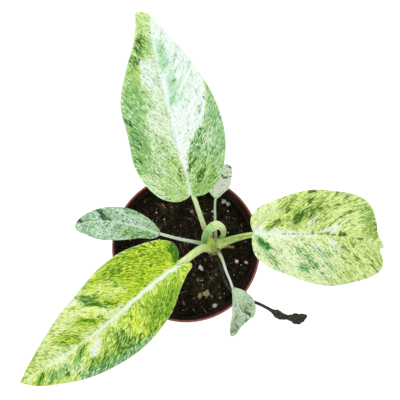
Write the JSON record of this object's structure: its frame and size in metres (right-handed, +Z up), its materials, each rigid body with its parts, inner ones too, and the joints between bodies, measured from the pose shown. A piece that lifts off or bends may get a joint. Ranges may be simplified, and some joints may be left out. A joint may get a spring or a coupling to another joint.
{
  "type": "potted variegated philodendron",
  "caption": "Young heart-leaved philodendron with large speckled cream and green leaves on fleshy stalks, rooted in dark soil in a round tapered nursery pot.",
  "frame": {"origin": "the middle of the pot's underside, on the surface the pot stands on", "axes": "+Z up along the pot's axis, +Y towards the largest leaf, +X towards the right-hand leaf"},
  "size_m": [0.2824, 0.2909, 0.1661],
  "materials": {
    "pot_plastic": "satin moulded polypropylene, terracotta colour",
    "soil": "damp fibrous potting soil with perlite and bark",
    "stem": "smooth, faintly ringed",
    "blade": "satin leaf, speckled cream, lime and green",
    "stalk": "smooth, satin",
    "new_leaf": "smooth, fresh green",
    "dead_leaf": "dry, wrinkled",
    "root": "dry"
  },
  "bodies": {
    "root": {"pot": "pot_plastic", "soil": "soil", "stem": "stem", "leaf_back_blade": "blade", "leaf_back_stalk": "stalk", "leaf_right_blade": "blade", "leaf_right_stalk": "stalk", "leaf_front_blade": "blade", "leaf_front_stalk": "stalk", "small_leaf_left_blade": "blade", "small_leaf_left_stalk": "stalk", "small_leaf_back_blade": "blade", "small_leaf_back_stalk": "stalk", "small_leaf_front_blade": "blade", "small_leaf_front_stalk": "stalk", "new_leaf": "new_leaf", "dead_leaf": "dead_leaf", "root_stub": "root"}
  },
  "joints": []
}
